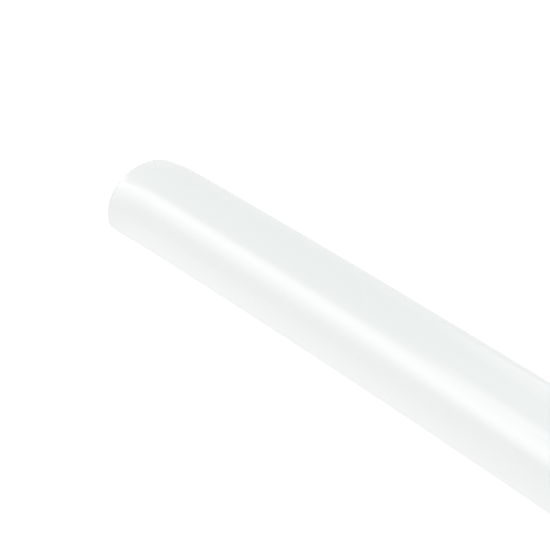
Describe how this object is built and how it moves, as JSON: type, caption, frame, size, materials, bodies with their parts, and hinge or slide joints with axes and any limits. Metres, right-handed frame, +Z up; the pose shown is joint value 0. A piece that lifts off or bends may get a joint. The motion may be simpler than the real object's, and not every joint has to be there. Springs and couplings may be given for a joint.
{
  "type": "heat shrink tube",
  "caption": "Cut length of thin-wall white heat shrink tube, open at both ends, lying on its side with one mouth pressed slightly flat.",
  "frame": {"origin": "on the floor, below the middle of the tube's bounding box", "axes": "+X along the tube, from the mouth that is pressed flat to the round one; +Z up from the floor; the hollow side of the tube's slight bow faces -Y"},
  "size_m": [0.5014, 0.0348, 0.0264],
  "materials": {
    "white_polyolefin": "milky white, smooth as extruded, with a soft gloss"
  },
  "bodies": {
    "root": {"heat_shrink_tube": "white_polyolefin"}
  },
  "joints": []
}
